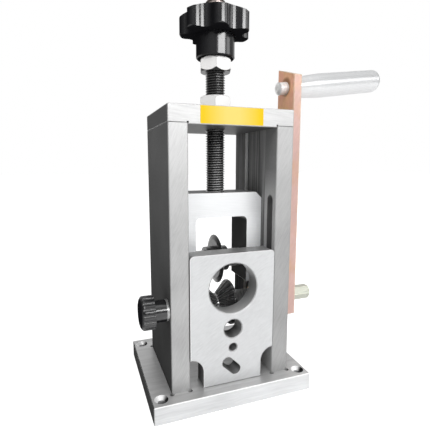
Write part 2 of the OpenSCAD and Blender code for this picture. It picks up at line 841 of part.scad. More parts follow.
// Hexagon nut standing on the level, corners chamfered at both faces
module hex_nut(w, h, bore) {
    corner = w / cos(30) / 2;
    c = w * nut_chamfer_share;
    difference() {
        intersection() {
            hex_bar(w, h);
            rotate_extrude() polygon([[0, 0], [w / 2, 0], [corner, c], [corner, h - c], [w / 2, h], [0, h]]);
        }
        translate([0, 0, -over]) cylinder(d = bore, h = h + 2 * over);
    }
}

module jam_nut() {
    color([0.86, 0.86, 0.85]) translate([0, axis_y, jam_nut_z]) rotate([0, 0, jam_turn])
        hex_nut(nut_w, jam_nut_h, rod_d);
}

module lock_nut() {
    color([0.86, 0.86, 0.85]) translate([0, axis_y, lock_nut_z]) rotate([0, 0, lock_turn])
        hex_nut(nut_w, nut_h, rod_d + 2 * run_gap);
}

// Circles round the knob's axis, r away from it
module circles_round(r, circle_r, turn) {
    for (i = [0 : knob_lobes - 1]) {
        rotate([0, 0, turn + i * lobe_step]) translate([r, 0]) circle(r = circle_r);
    }
}

// Outline of the knob's upper part: lobes joined through rounded hollows
module star_outline() {
    corners = [for (i = [0 : 2 * knob_lobes - 1]) let (r = i % 2 == 0 ? lobe_mid_r : hollow_mid_r)
        [r * cos(i * lobe_step / 2), r * sin(i * lobe_step / 2)]];
    difference() {
        union() {
            polygon(corners);
            circles_round(lobe_mid_r, lobe_r, 0);
        }
        circles_round(hollow_mid_r, hollow_r, lobe_step / 2);
    }
}

// Half section that rounds the lobes' edges and domes the knob's top
module star_section() {
    r = knob_d / 2 + lobe_room;
    c = knob_round;
    dome = [for (i = [0 : crown_steps]) let (share = 1 - i / crown_steps)
        [crown_flat_r + (r - c - crown_flat_r) * share,
         knob_lobe_h + knob_crown_h * (1 - pow(share, crown_power))]];
    polygon(concat([[0, knob_lobe_h - c], [r - c, knob_lobe_h - c]], dome, [[0, knob_lobe_h + knob_crown_h]]));
    square([r - c, knob_lobe_h]);
    translate([0, c]) square([r, knob_lobe_h - 2 * c]);
    for (z = [c, knob_lobe_h - c]) {
        translate([r - c, z]) circle(r = c, $fn = small_fn);
    }
}

// Star knob: lobed grip on a round hub, with a seat for its steel bush
module star_knob() {
    c = knob_round;
    hub_r = knob_hub_d / 2;
    color([0.06, 0.06, 0.07]) translate([0, axis_y, 0]) difference() {
        union() {
            translate([0, 0, lobe_z]) intersection() {
                rotate([0, 0, knob_turn]) linear_extrude(knob_lobe_h + knob_crown_h + over) star_outline();
                rotate_extrude() star_section();
            }
            translate([0, 0, knob_z]) rotate_extrude()
                polygon([[0, 0], [hub_r - c / 2, 0], [hub_r, c / 2], [hub_r, knob_neck_h + over], [0, knob_neck_h + over]]);
        }
        translate([0, 0, knob_z - over]) cylinder(d = knob_bush_d, h = knob_bush_h + over);
        translate([0, 0, knob_z]) cylinder(d = rod_d, h = crown_top_z - knob_z + over);
    }
}

module knob_bush() {
    color([0.55, 0.55, 0.57]) translate([0, axis_y, knob_z]) difference() {
        cylinder(d = knob_bush_d, h = knob_bush_h);
        translate([0, 0, -over]) cylinder(d = rod_d, h = knob_bush_h + 2 * over);
    }
}

// Shaft: round through the frame, hexagonal outside it, with a keyway
module drive_shaft() {
    corner = hex_w / cos(30) / 2;
    hex_len = hex_end_x - hex_start_x;
    color([0.78, 0.78, 0.74]) difference() {
        union() {
            x_rod(-shaft_end_x, hex_start_x + over / 2, axis_y, crank_z, shaft_d);
            along_x(hex_start_x, axis_y, crank_z) intersection() {
                rotate([0, 0, 30]) hex_bar(hex_w, hex_len);
                rotate_extrude() polygon([[0, 0], [corner, 0], [corner, hex_len - hex_chamfer],
                                          [corner - hex_chamfer, hex_len], [0, hex_len]]);
            }
        }
        block([-key_len / 2, axis_y - key_w / 2, crank_z + shaft_d / 2 - key_w / 2],
              [key_len / 2, axis_y + key_w / 2, crank_z + shaft_d]);
    }
}

// Gap between two teeth on one flank of the groove, along its slope
module tooth_gap() {
    rise = (roller_d - groove_floor_d) / 2;
    side = (groove_mouth_w - groove_floor_w) / 2;
    slope = atan2(rise, side);
    len = norm([rise, side]) + 2 * over;
    translate([(groove_mouth_w + groove_floor_w) / 4, 0, (roller_d + groove_floor_d) / 4])
        rotate([0, -slope, 0]) rotate([45, 0, 0])
            cube([len, tooth_cut * sqrt(2), tooth_cut * sqrt(2)], center = true);
}

// Feed roller: toothed groove between two rims, keyed to the shaft
module feed_roller() {
    r = roller_d / 2;
    f = groove_floor_d / 2;
    c = edge_cut;
    color([0.42, 0.43, 0.45]) translate([0, axis_y, crank_z]) difference() {
        rotate([0, 90, 0]) rotate_extrude()
            polygon([[shaft_d / 2, -roller_w / 2], [r - c, -roller_w / 2], [r, c - roller_w / 2],
                     [r, -groove_mouth_w / 2], [f, -groove_floor_w / 2], [f, groove_floor_w / 2],
                     [r, groove_mouth_w / 2], [r, roller_w / 2 - c], [r - c, roller_w / 2],
                     [shaft_d / 2, roller_w / 2]]);
        for (i = [0 : roller_teeth - 1], side = [0, 1]) {
            rotate([i * 360 / roller_teeth, 0, 0]) mirror([side, 0, 0]) tooth_gap();
        }
        block([-roller_w, -key_w / 2, 0], [roller_w, key_w / 2, shaft_d / 2 + key_w / 2]);
    }
}

module roller_key() {
    color([0.5, 0.5, 0.52])
        block([-key_len / 2, axis_y - key_w / 2, crank_z + shaft_d / 2 - key_w / 2],
              [key_len / 2, axis_y + key_w / 2, crank_z + shaft_d / 2 + key_w / 2]);
}

module shaft_sleeves() {
    color([0.74, 0.75, 0.77]) for (side = [0, 1]) {
        mirror([side, 0, 0]) x_ring(roller_w / 2, sleeve_end_x, axis_y, crank_z, sleeve_d, shaft_d);
    }
}

module arm_spacer() {
    color([0.70, 0.71, 0.72]) x_ring(outer_x + gap, hex_start_x, axis_y, crank_z, arm_spacer_d, shaft_d);
}

// Places a shape made along Z on the leaning axis of the grip
module on_grip_axis() {
    translate([arm_mid_x, axis_y, bolt_z]) rotate([0, 90 - grip_lean, 0]) children();
}

// Crank arm: flat bar with a hexagonal hole, a drilled, spot-faced upper end and a slanted top
module crank_arm() {
    color([0.85, 0.68, 0.61]) difference() {
        plate([arm_x, axis_y - arm_w / 2, crank_z - arm_foot],
              [arm_x + arm_t, axis_y + arm_w / 2, bolt_z + arm_head], arm_cut);
        translate([arm_x - over, axis_y + arm_w / 2, bolt_z + arm_head]) rotate([arm_slant, 0, 0])
            block([0, -2 * arm_w, 0], [arm_t + 2 * over, arm_w, arm_w]);
        along_x(arm_x - over, axis_y, crank_z) rotate([0, 0, 30]) hex_bar(hex_w, arm_t + 2 * over);
        on_grip_axis() {
            translate([0, 0, -arm_t]) cylinder(d = bolt_d, h = 2 * arm_t);
            translate([0, 0, seat_out]) cylinder(d = grip_washer_d + 2 * gap, h = arm_t);
            translate([0, 0, -seat_out - arm_t]) cylinder(d = tail_d + 2 * gap, h = arm_t);
        }
        translate([arm_mid_x, axis_y, crank_z - arm_w]) cylinder(d = grub_d, h = arm_w - hex_w / 2, $fn = small_fn);
    }
}

module arm_grub_screw() {
    len = arm_foot - hex_w / 2 - arm_cut;
    color([0.2, 0.2, 0.22]) translate([arm_mid_x, axis_y, crank_z - hex_w / 2 - len]) mirror([0, 0, 1])
        grub_screw(grub_d, len);
}

// Bolt of the grip: socket head in the grip, thick domed tail behind the arm
module handle_bolt() {
    tail_r = tail_d / 2;
    dome_r = (tail_r * tail_r + tail_dome_h * tail_dome_h) / (2 * tail_dome_h);
    color([0.80, 0.80, 0.79]) on_grip_axis() difference() {
        union() {
            translate([0, 0, -seat_out]) cylinder(d = bolt_d, h = head_out + seat_out + over);
            translate([0, 0, head_out]) cylinder(d = bolt_head_d, h = bolt_head_h);
            translate([0, 0, -seat_out]) mirror([0, 0, 1]) intersection() {
                cylinder(d = tail_d, h = tail_h);
                translate([0, 0, tail_h - dome_r]) sphere(r = dome_r);
            }
        }
        translate([0, 0, head_out + bolt_head_h / 2]) hex_bar(bolt_hex, bolt_head_h);
    }
}

module handle_washer() {
    color([0.5, 0.5, 0.48]) on_grip_axis() translate([0, 0, seat_out]) difference() {
        cylinder(d = grip_washer_d, h = grip_washer_t);
        translate([0, 0, -over]) cylinder(d = bolt_d, h = grip_washer_t + 2 * over);
    }
}

// Radius of the grip at a share of its length, swelling smoothly from the neck
function grip_radius(share) =
    let (rise = min(share / grip_swell_share, 1),
         soft = rise * rise * (3 - 2 * rise),
         fall = max(share - grip_swell_share, 0) / (1 - grip_swell_share))
    (grip_neck_d + (grip_d - grip_neck_d) * soft - (grip_d - grip_end_d) * fall) / 2;

// Grip: turned handle with a bore for its bolt and a hollow for the bolt's head
module handle_grip() {
    straight = grip_len - grip_round;
    end_r = grip_radius(straight / grip_len);
    side_points = [for (i = [0 : grip_steps]) let (u = straight * i / grip_steps) [grip_radius(u / grip_len), u]];
    round_points = [for (a = [15 : 15 : 90]) [end_r - grip_round * (1 - cos(a)), straight + grip_round * sin(a)]];
    color([0.90, 0.90, 0.91]) on_grip_axis() translate([0, 0, grip_out]) difference() {
        rotate_extrude() polygon(concat([[0, 0]], side_points, round_points, [[0, grip_len]]));
        translate([0, 0, -over]) cylinder(d = bolt_d + 2 * run_gap, h = grip_len);
        translate([0, 0, grip_len - head_hollow_h - gap]) cylinder(d = bolt_head_d + 2 * gap, h = head_hollow_h + over);
    }
}

base_plate();
left_side_plate();
right_side_plate();
top_plate();
base_screws();
top_screws();
left_shaft_bush();
right_shaft_bush();
guide_plate();
guide_pins();
clamp_knob();
clamp_stud();
clamp_washer();
blade_yoke();
blade_axle();
axle_grub_screws();
axle_spacers();
cutting_blade();
blade_hub();
blade_clamp_ring();
screw_pins();
feed_screw();
jam_nut();
lock_nut();
star_knob();
knob_bush();
drive_shaft();
feed_roller();
roller_key();
shaft_sleeves();
arm_spacer();
crank_arm();
arm_grub_screw();
handle_bolt();
handle_washer();
handle_grip();
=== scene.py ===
# %% [markdown]
# A hand crank wire stripper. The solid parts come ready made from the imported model,
# in metres, with the origin in the middle of the base's underside: X runs to the crank,
# Y to the back and Z up. This lesson adds what solids lack: finishes, a thread, a label,
# light and a camera. Places come from the solids' own boxes or are given in their frame.

# %% Load the solids
import math

import bmesh
import bpy
from mathutils import Matrix, Vector


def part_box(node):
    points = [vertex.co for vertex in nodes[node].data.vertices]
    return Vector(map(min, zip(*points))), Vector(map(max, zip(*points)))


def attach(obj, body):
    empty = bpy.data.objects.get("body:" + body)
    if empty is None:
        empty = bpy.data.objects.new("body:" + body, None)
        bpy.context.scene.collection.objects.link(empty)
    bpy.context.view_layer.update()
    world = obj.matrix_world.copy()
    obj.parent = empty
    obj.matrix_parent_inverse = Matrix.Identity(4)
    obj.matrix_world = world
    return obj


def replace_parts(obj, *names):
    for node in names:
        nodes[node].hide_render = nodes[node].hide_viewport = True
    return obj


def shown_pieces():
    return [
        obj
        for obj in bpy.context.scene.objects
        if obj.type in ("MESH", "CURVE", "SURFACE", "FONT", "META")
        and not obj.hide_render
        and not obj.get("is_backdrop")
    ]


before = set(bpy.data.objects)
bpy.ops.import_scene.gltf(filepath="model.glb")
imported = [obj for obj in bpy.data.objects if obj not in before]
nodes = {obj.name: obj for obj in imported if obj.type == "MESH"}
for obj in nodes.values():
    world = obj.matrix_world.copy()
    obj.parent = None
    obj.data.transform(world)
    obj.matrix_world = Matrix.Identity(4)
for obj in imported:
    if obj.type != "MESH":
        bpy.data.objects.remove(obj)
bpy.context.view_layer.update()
MM = 0.001
print("solids:", len(nodes))


# %% [markdown]
# The camera stands to the left of the tool, a little above half its height, and looks
# slightly down. It could be placed by eye. Its place and lens were worked out from the
# photographed corners of the frame and the base instead, so that edges fall on edges.

# %% Camera
camera_turn = math.radians(20.355)
camera_tip = math.radians(8.029)
camera_roll = math.radians(0.083)
camera_place = Vector((-0.10833, -0.29315, 0.18872))
camera_lens = 30.475
camera_sensor = 36.0
nearest_seen = 10 * MM


def into_scene(name, data):
    made = bpy.data.objects.new(name, data)
    bpy.context.scene.collection.objects.link(made)
    return made


ahead = Vector((math.sin(camera_turn) * math.cos(camera_tip),
                math.cos(camera_turn) * math.cos(camera_tip), -math.sin(camera_tip)))
level = ahead.cross(Vector((0, 0, 1))).normalized()
upward = level.cross(ahead)
right = level * math.cos(camera_roll) + upward * math.sin(camera_roll)
top = upward * math.cos(camera_roll) - level * math.sin(camera_roll)

camera = into_scene("camera", bpy.data.cameras.new("camera"))
camera.matrix_world = Matrix.Translation(camera_place) @ Matrix((right, top, -ahead)).transposed().to_4x4()
camera.data.lens = camera_lens
camera.data.sensor_width = camera_sensor
camera.data.clip_start = nearest_seen
bpy.context.scene.camera = camera
print("camera at", tuple(camera_place))


# %% [markdown]
# Node trees are easier to read when short helpers add a node, set its options and fill its
# inputs, either with a value or with the output of another node.

# %% Helpers for node trees
def add(tree, kind, inputs=None, **options):
    node = tree.nodes.new(kind)
    for name, value in options.items():
        setattr(node, name, value)
    for key, value in (inputs or {}).items():
        fill(tree, node.inputs[key], value)
    return node


def fill(tree, socket, value):
    if isinstance(value, bpy.types.NodeSocket):
        tree.links.new(value, socket)
    else:
        socket.default_value = value


def new_group(name, inputs, outputs):
    tree = bpy.data.node_groups.new(name, "ShaderNodeTree")
    for label, kind, value in inputs:
        socket = tree.interface.new_socket(label, in_out="INPUT", socket_type=kind)
        socket.default_value = value
    for label, kind in outputs:
        tree.interface.new_socket(label, in_out="OUTPUT", socket_type=kind)
    print("node group:", name)
    return tree, tree.nodes.new("NodeGroupInput").outputs, tree.nodes.new("NodeGroupOutput").inputs


def use_group(tree, group, inputs):
    return add(tree, "ShaderNodeGroup", inputs, node_tree=group).outputs


FLOAT, VECTOR, COLOUR = "NodeSocketFloat", "NodeSocketVector", "NodeSocketColor"


# %% [markdown]
# A few nodes come back all the time: sums, mixed colours, the three parts of a vector, and
# Map Range, which carries one span of values over to another and holds both ends. Each
# gets a short function, so that a finish reads like a recipe.

# %% Helpers for sums, masks and colours
def math_node(tree, operation, *values):
    return add(tree, "ShaderNodeMath", dict(enumerate(values)), operation=operation).outputs[0]


def vector_node(tree, operation, a, b):
    second = "Scale" if operation == "SCALE" else 1
    result = "Value" if operation == "DOT_PRODUCT" else "Vector"
    return add(tree, "ShaderNodeVectorMath", {0: a, second: b}, operation=operation).outputs[result]


def parts_of(tree, vector):
    return add(tree, "ShaderNodeSeparateXYZ", {0: vector}).outputs


def spread(tree, value, span, onto=(0.0, 1.0)):
    return add(tree, "ShaderNodeMapRange", {"Value": value, "From Min": span[0], "From Max": span[1],
                                            "To Min": onto[0], "To Max": onto[1]}).outputs[0]


def noise(tree, vector, scale, detail):
    return add(tree, "ShaderNodeTexNoise", {"Vector": vector, "Scale": scale, "Detail": detail}).outputs


def mix_colour(tree, factor, a, b, blend="MIX"):
    node = add(tree, "ShaderNodeMix", {"Factor": factor}, data_type="RGBA", blend_type=blend)
    for key, value in (("A", a), ("B", b)):
        fill(tree, [s for s in node.inputs if s.name == key and s.type == "RGBA"][0], value)
    return [s for s in node.outputs if s.type == "RGBA"][0]


def ramp_between(tree, value, low, high, low_colour, high_colour):
    return mix_colour(tree, spread(tree, value, (low, high)), low_colour, high_colour)


def place_on(tree):
    """The place on the piece. It stays with the piece when that moves."""
    return add(tree, "ShaderNodeTexCoord").outputs["Object"]


def way_of(tree):
    """The way a face looks, on the piece's own axes."""
    return add(tree, "ShaderNodeTexCoord").outputs["Normal"]


# %% [markdown]
# Ground and brushed metal shows fine lines that all run one way. They could come from a
# picture, but noise has no seams. Noise that is squeezed in two directions and left long
# in the third gives such lines on every face, so the group turns the piece's coordinates
# first and then stretches them. A slow drift before that bends the strokes a little.

# %% Shared effect: brush lines
brush_group, go, out = new_group(
    "brush lines",
    [("Vector", VECTOR, (0, 0, 0)), ("Lean", VECTOR, (0, 0, 0)), ("Density", FLOAT, 900.0),
     ("Stretch", FLOAT, 0.05), ("Wander", FLOAT, 0.0)],
    [("Lines", FLOAT), ("Slow", FLOAT)])
drift = noise(brush_group, go["Vector"], scale=60.0, detail=1.0)["Color"]
centred = vector_node(brush_group, "SUBTRACT", drift, (0.5, 0.5, 0.5))
sway = vector_node(brush_group, "SCALE", centred, go["Wander"])
swayed = vector_node(brush_group, "ADD", go["Vector"], sway)
turned = add(brush_group, "ShaderNodeVectorRotate", {"Vector": swayed, "Rotation": go["Lean"]},
             rotation_type="EULER_XYZ").outputs[0]
along = math_node(brush_group, "MULTIPLY", go["Density"], go["Stretch"])
squeeze = add(brush_group, "ShaderNodeCombineXYZ",
              {"X": go["Density"], "Y": go["Density"], "Z": along}).outputs[0]
stretched = vector_node(brush_group, "MULTIPLY", turned, squeeze)
fine = add(brush_group, "ShaderNodeTexNoise",
           {"Vector": stretched, "Scale": 1.0, "Detail": 3.0, "Roughness": 0.65}).outputs[0]
brush_group.links.new(fine, out["Lines"])
brush_group.links.new(noise(brush_group, go["Vector"], scale=22.0, detail=2.0)[0], out["Slow"])


# %% [markdown]
# A plate gets a different tone on its broad faces, its sawn edges and its ends. These tones are painted
# light and shade: on the plates the sides are painted darker than the fronts, as they stand in shade. Each
# face could get a material of its own. But the squares of the surface direction's three parts always add up
# to one, so they share out the colours in one material, and round holes blend from one to the next. Faces
# that look down get a tone of their own, painted shade, because several are darker in the photograph.

# %% Shared effect: a tone of painted light and shade for each way a face looks
face_shade_group, go, out = new_group(
    "painted face shade",
    [(way, COLOUR, (1, 1, 1, 1)) for way in ("Front", "Side", "Level", "Under")],
    [("Colour", COLOUR), ("Side share", FLOAT)])
facing = way_of(face_shade_group)
squares = parts_of(face_shade_group, vector_node(face_shade_group, "MULTIPLY", facing, facing))
downward = math_node(face_shade_group, "LESS_THAN", parts_of(face_shade_group, facing)["Z"], 0.0)
# Painted light and shade: the tone follows the way that the face looks.
front_or_side = mix_colour(face_shade_group, squares["X"], go["Front"], go["Side"])
up_or_down = mix_colour(face_shade_group, downward, go["Level"], go["Under"])
face_shade_group.links.new(mix_colour(face_shade_group, squares["Z"], front_or_side, up_or_down), out["Colour"])
face_shade_group.links.new(squares["X"], out["Side share"])


# %% [markdown]
# The edges get thin bright or dark lines, which are painted highlights and painted shade, as if rounded
# edges caught or missed the light. They could be modelled as chamfers. The Bevel node does without: it
# gives the direction that a rounded edge would have, and where it differs from the true one, there is an
# edge. A second mask is painted light from the upper left: it tells the edges that lean to the upper left
# from those that lean away, which are painted darker on two of the plates.

# %% Shared effect: painted light on edges
edge_light_group, go, out = new_group("painted edge light", [("Width", FLOAT, 0.6 * MM)],
                                [("Edge", FLOAT), ("Lit from upper left", FLOAT)])
soft_way = add(edge_light_group, "ShaderNodeBevel", {"Radius": go["Width"]}, samples=6).outputs[0]
true_way = add(edge_light_group, "ShaderNodeNewGeometry").outputs["True Normal"]
agreement = vector_node(edge_light_group, "DOT_PRODUCT", soft_way, true_way)
lit_from_upper_left = vector_node(edge_light_group, "DOT_PRODUCT", soft_way, (-0.7, 0, 0.7))
edge_light_group.links.new(spread(edge_light_group, agreement, (0.995, 0.85)), out["Edge"])
edge_light_group.links.new(spread(edge_light_group, lit_from_upper_left, (-0.3, 0.3)), out["Lit from upper left"])


# %% [markdown]
# One function makes each metal finish. The four tones come first, one for each way a face looks, and they
# carry painted light and shade. Each is a plain colour, or a recipe that builds one from the place on the
# piece, where the tone changes along a face. Then come the brush lines, how far the surface is metal, how
# rough it is, and its edges, which get painted highlights and painted shade. The lines also swing the
# roughness and raise a very low bump.

# %% Metal finishes
def grey(value, warm=0.0):
    return (value * (1 + warm), value, value * (1 - warm), 1)


def new_finish(name):
    material = bpy.data.materials.new(name)
    material.use_nodes = True
    return material, material.node_tree, material.node_tree.nodes["Principled BSDF"]


def metal(name, front, side=None, level=None, under=None, lean=(0, 0, 0), lines=0.2, clouds=0.4,
          density=900.0, stretch=0.05, wander=0.0, bump=0.02 * MM, metallic=0.6, side_metallic=None,
          rough=0.35, rough_swing=0.12, mirror=0.5, edge=None, shaded_edge=None, edge_width=0.6 * MM):
    material, tree, surface = new_finish(name)
    place = place_on(tree)
    spot = parts_of(tree, place)
    brush = use_group(tree, brush_group, {"Vector": place, "Lean": lean, "Density": density,
                                          "Stretch": stretch, "Wander": wander})
    asked = {"Front": front, "Side": side or front, "Level": level or front,
             "Under": under or level or front}
    faces = use_group(tree, face_shade_group, {way: tone(tree, spot) if callable(tone) else tone
                                          for way, tone in asked.items()})
    strokes = spread(tree, brush["Lines"], (0.25, 0.75), (1 - lines, 1 + lines * 0.6))
    clouding = spread(tree, brush["Slow"], (0.3, 0.7), (1 - lines * clouds, 1 + lines * clouds / 2))
    colour = vector_node(tree, "SCALE", faces["Colour"], math_node(tree, "MULTIPLY", strokes, clouding))
    if edge:
        # Painted highlights and painted shade on the edges; those leaning away from the upper left take the
        # shaded tone.
        rim = use_group(tree, edge_light_group, {"Width": edge_width})
        painted_edge_tone = mix_colour(tree, rim["Lit from upper left"], shaded_edge or edge, edge)
        colour = mix_colour(tree, rim["Edge"], colour, painted_edge_tone)
    tree.links.new(colour, surface.inputs["Base Color"])
    gloss = spread(tree, brush["Lines"], (0.2, 0.8), (rough + rough_swing, rough - rough_swing))
    tree.links.new(gloss, surface.inputs["Roughness"])
    surface.inputs["Specular IOR Level"].default_value = mirror
    if side_metallic is None:
        surface.inputs["Metallic"].default_value = metallic
    else:
        by_side = spread(tree, faces["Side share"], (0.0, 1.0), (metallic, side_metallic))
        tree.links.new(by_side, surface.inputs["Metallic"])
    relief = add(tree, "ShaderNodeBump", {"Height": brush["Lines"], "Distance": bump, "Strength": 0.6})
    tree.links.new(relief.outputs[0], surface.inputs["Normal"])
    return material


def dress(material, *names):
    for name in names:
        slots = nodes[name].data.materials
        slots.clear()
        slots.append(material)
    print(material.name + ":", ", ".join(names))


# %% [markdown]
# The lines run different ways on different pieces. Turned about Y by so many degrees from
# upright, they lie on a front face about as they do in the photograph.

# %% Directions of the lines
def turned_by(degrees):
    return (0, math.radians(degrees), 0)


STEEP, LEVEL, ALONG_X, SLANT = turned_by(-24), turned_by(84), turned_by(90), turned_by(122)
print("directions of the lines:", [round(turn[1], 3) for turn in (STEEP, LEVEL, ALONG_X, SLANT)])


# %% [markdown]
# The side plates are milled in front. Their tones are painted light and shade: outside they are painted
# dark, darker towards the bottom. Inside, a strip in front of the yoke is painted paler low down, and the
# yoke's channel is painted darker towards the back and the bottom, with stripes, which are brush lines
# again, only coarser. The front faces are painted paler to the top, and the right plate's a little darker
# than the left one's. These tones follow the photograph. They belong to the faces, so they stay where they
# are from every side.

# %% Side plates
outer_x = 48.5 * MM
front_strip_y = -24 * MM
sunk_y = -40 * MM


def plate_channel(tree):
    spot = parts_of(tree, place_on(tree))
    # Painted shade: the channel darkens towards the back and towards the bottom.
    depth = ramp_between(tree, spot["Y"], -42 * MM, 30 * MM, grey(0.26), grey(0.14))
    height = ramp_between(tree, spot["Z"], 100 * MM, 180 * MM, grey(0.3), grey(1.0))
    coarse = use_group(tree, brush_group, {"Vector": place_on(tree), "Density": 420.0, "Stretch": 0.02})
    stripes = spread(tree, coarse["Lines"], (0.3, 0.7), (0.45, 2.0))
    return vector_node(tree, "SCALE", mix_colour(tree, 1.0, depth, height, "MULTIPLY"), stripes)


def plate_side(tree, spot):
    # Painted light: the strip in front of the yoke is paler low down.
    strip = ramp_between(tree, spot["Z"], 165 * MM, 185 * MM, grey(0.42), grey(0.25))
    in_front = math_node(tree, "LESS_THAN", spot["Y"], front_strip_y)
    inside = mix_colour(tree, in_front, plate_channel(tree), strip)
    # Painted shade: the outside is dark, darker towards the bottom.
    outside = ramp_between(tree, spot["Z"], 50 * MM, 200 * MM, grey(0.06), grey(0.125))
    is_outside = math_node(tree, "GREATER_THAN", math_node(tree, "ABSOLUTE", spot["X"]), outer_x)
    return mix_colour(tree, is_outside, inside, outside)


def plate_front(tree, spot):
    """The front face, painted paler to the top and darker to the right, and further back the end of the
    slot with painted shade and the end of the channel with painted light.
    """
    painted_shade_to_right = ramp_between(tree, spot["X"], -20 * MM, 20 * MM, grey(1.0), grey(0.86))
    height = ramp_between(tree, spot["Z"], 130 * MM, 205 * MM, grey(0.41), grey(0.58))
    face = mix_colour(tree, 1.0, height, painted_shade_to_right, "MULTIPLY")
    # Painted shade in the slot's end, painted light on the channel's end.
    in_slot = math_node(tree, "LESS_THAN", spot["Y"], front_strip_y)
    is_sunk = math_node(tree, "GREATER_THAN", spot["Y"], sunk_y)
    return mix_colour(tree, is_sunk, face, mix_colour(tree, in_slot, grey(0.9), grey(0.16)))


dress(metal("milled side plate", plate_front, side=plate_side, level=grey(0.45), lean=STEEP, lines=0.13,
            clouds=0.8, density=1500.0, wander=0.0025, metallic=0.45, side_metallic=0.0, rough=0.42,
            mirror=0.0, edge=grey(0.32)), "left_side_plate", "right_side_plate")


# %% [markdown]
# The top plate is one milled block over both side plates. Its faces are even enough for four plain tones,
# which are painted light and shade: its sides and underside are painted dark, and its edges get painted
# highlights, darker where they lean away from the upper left.

# %% Top plate
dress(metal("milled top plate", grey(0.57), side=grey(0.11), level=grey(0.5), under=grey(0.12),
            lean=LEVEL, lines=0.12, wander=0.0025, metallic=0.45, side_metallic=0.0, rough=0.42,
            mirror=0.0, edge=grey(0.8), shaded_edge=grey(0.3)), "top_plate")


# %% [markdown]
# The wire goes through one of the guide plate's openings. Their walls are painted darker with depth, which
# is painted shade, and in the photograph the large bore is paler at its mouth than the smaller ones below
# it, so its mouth gets painted light. The walls could be picked out face by face. It is simpler to tell
# them from the plate's own ends by their place, more than a millimetre inside the plate's box.

# %% Guide plate
guide_low, guide_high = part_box("guide_plate")
smaller_bores_z, large_bore_z = 66 * MM, 72 * MM


def bored(tree, spot, outer, mouth, deep):
    # Painted shade: the wall darkens from its mouth to its deep end.
    wall = ramp_between(tree, spot["Y"], guide_low.y, guide_high.y, mouth, deep)
    across = math_node(tree, "LESS_THAN", math_node(tree, "ABSOLUTE", spot["X"]), guide_high.x - MM)
    below = math_node(tree, "LESS_THAN", spot["Z"], guide_high.z - MM)
    return mix_colour(tree, math_node(tree, "MULTIPLY", across, below), outer, wall)


def by_bore(tree, spot, smaller, large):
    # Painted light: the large bore is paler than the smaller ones.
    return ramp_between(tree, spot["Z"], smaller_bores_z, large_bore_z, smaller, large)


def guide_side(tree, spot):
    return bored(tree, spot, grey(0.16), by_bore(tree, spot, grey(0.15), grey(0.22)), grey(0.02))


def guide_level(tree, spot):
    return bored(tree, spot, grey(0.27), by_bore(tree, spot, grey(0.28), grey(0.58)),
                 by_bore(tree, spot, grey(0.02), grey(0.16)))


# The edges that lean away from the upper left are painted nearly black, as painted shade.
guide_face = grey(0.56, -0.012)
dress(metal("milled guide plate", guide_face, side=guide_side, level=guide_level, under=guide_face,
            lean=SLANT, lines=0.11, density=1400.0, stretch=0.12, wander=0.002, metallic=0.45,
            side_metallic=0.1, rough=0.4, edge=grey(0.8), shaded_edge=grey(0.06), edge_width=1.2 * MM),
      "guide_plate")


# %% [markdown]
# The yoke carries the blade and is the palest plate. In the photograph its right leg is paler than the bar
# above it, while here the side plate shades it, so the leg is painted paler, as painted light, and the tone
# changes across the yoke and down the leg.

# %% Yoke
yoke_face, leg_painted_light = grey(0.87, -0.012), grey(1.0, -0.012)
leg_left, leg_right = 16 * MM, 26 * MM
yoke_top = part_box("blade_yoke")[1].z


def yoke_front(tree, spot):
    # Painted light: the right leg is paler than the bar.
    leg = ramp_between(tree, spot["Z"], yoke_top - 24 * MM, yoke_top - 14 * MM, leg_painted_light, yoke_face)
    return ramp_between(tree, spot["X"], leg_left, leg_right, yoke_face, leg)


dress(metal("milled yoke", yoke_front, side=grey(0.08), level=grey(0.3), lean=LEVEL, lines=0.05,
            metallic=0.2, side_metallic=0.0, rough=0.4, mirror=0.0, edge=grey(0.92)), "blade_yoke")


# %% [markdown]
# The base has countersunk bolt holes. In the photograph the far left of each cone is bright and the near
# right is dark, so the cones get a painted highlight and painted shade. Only the cones slope, so a face of
# one is found by its slope, and its side of the hole by the way that it looks.

# %% Base
cone_slopes = (0.3, 0.95)


def countersunk(plain):
    def recipe(tree, spot):
        looks = parts_of(tree, way_of(tree))
        sloping = math_node(tree, "MULTIPLY", math_node(tree, "GREATER_THAN", looks["Z"], cone_slopes[0]),
                            math_node(tree, "LESS_THAN", looks["Z"], cone_slopes[1]))
        turn = math_node(tree, "SUBTRACT", looks["X"], looks["Y"])
        # Painted highlight and painted shade on the cones, by the way that they look.
        return mix_colour(tree, sloping, plain, ramp_between(tree, turn, -0.5, 0.8, grey(0.02), grey(1.0)))
    return recipe


base_face = grey(0.63, -0.01)
dress(metal("milled base", countersunk(base_face), side=countersunk(grey(0.07)),
            level=countersunk(grey(0.53)), under=base_face, lean=ALONG_X, lines=0.12, clouds=0.8,
            density=520.0, wander=0.0025, metallic=0.5, side_metallic=0.0, rough=0.42, mirror=0.0,
            edge=grey(0.75)), "base_plate")


# %% [markdown]
# The crank arm is a flat bar with a pinkish plating. It isn't one colour: noise takes it to gold in
# patches, its faces get tones of painted light and shade, and its corners get olive painted highlights.
# Round the grip's bolt it has a brown ring of painted shade, which is found by the distance from the bolt.
# The bolt runs along X through the middle of the washer's box.

# %% Crank arm
painted_bolt_shade = (0.36, 0.17, 0.08, 1)
ring_inner, ring_outer = 6.5 * MM, 9.0 * MM
washer_low, washer_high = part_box("handle_washer")
bolt_middle = (washer_low + washer_high) / 2


def radius_of(tree, a, b):
    squared = [math_node(tree, "MULTIPLY", part, part) for part in (a, b)]
    return math_node(tree, "SQRT", math_node(tree, "ADD", *squared))


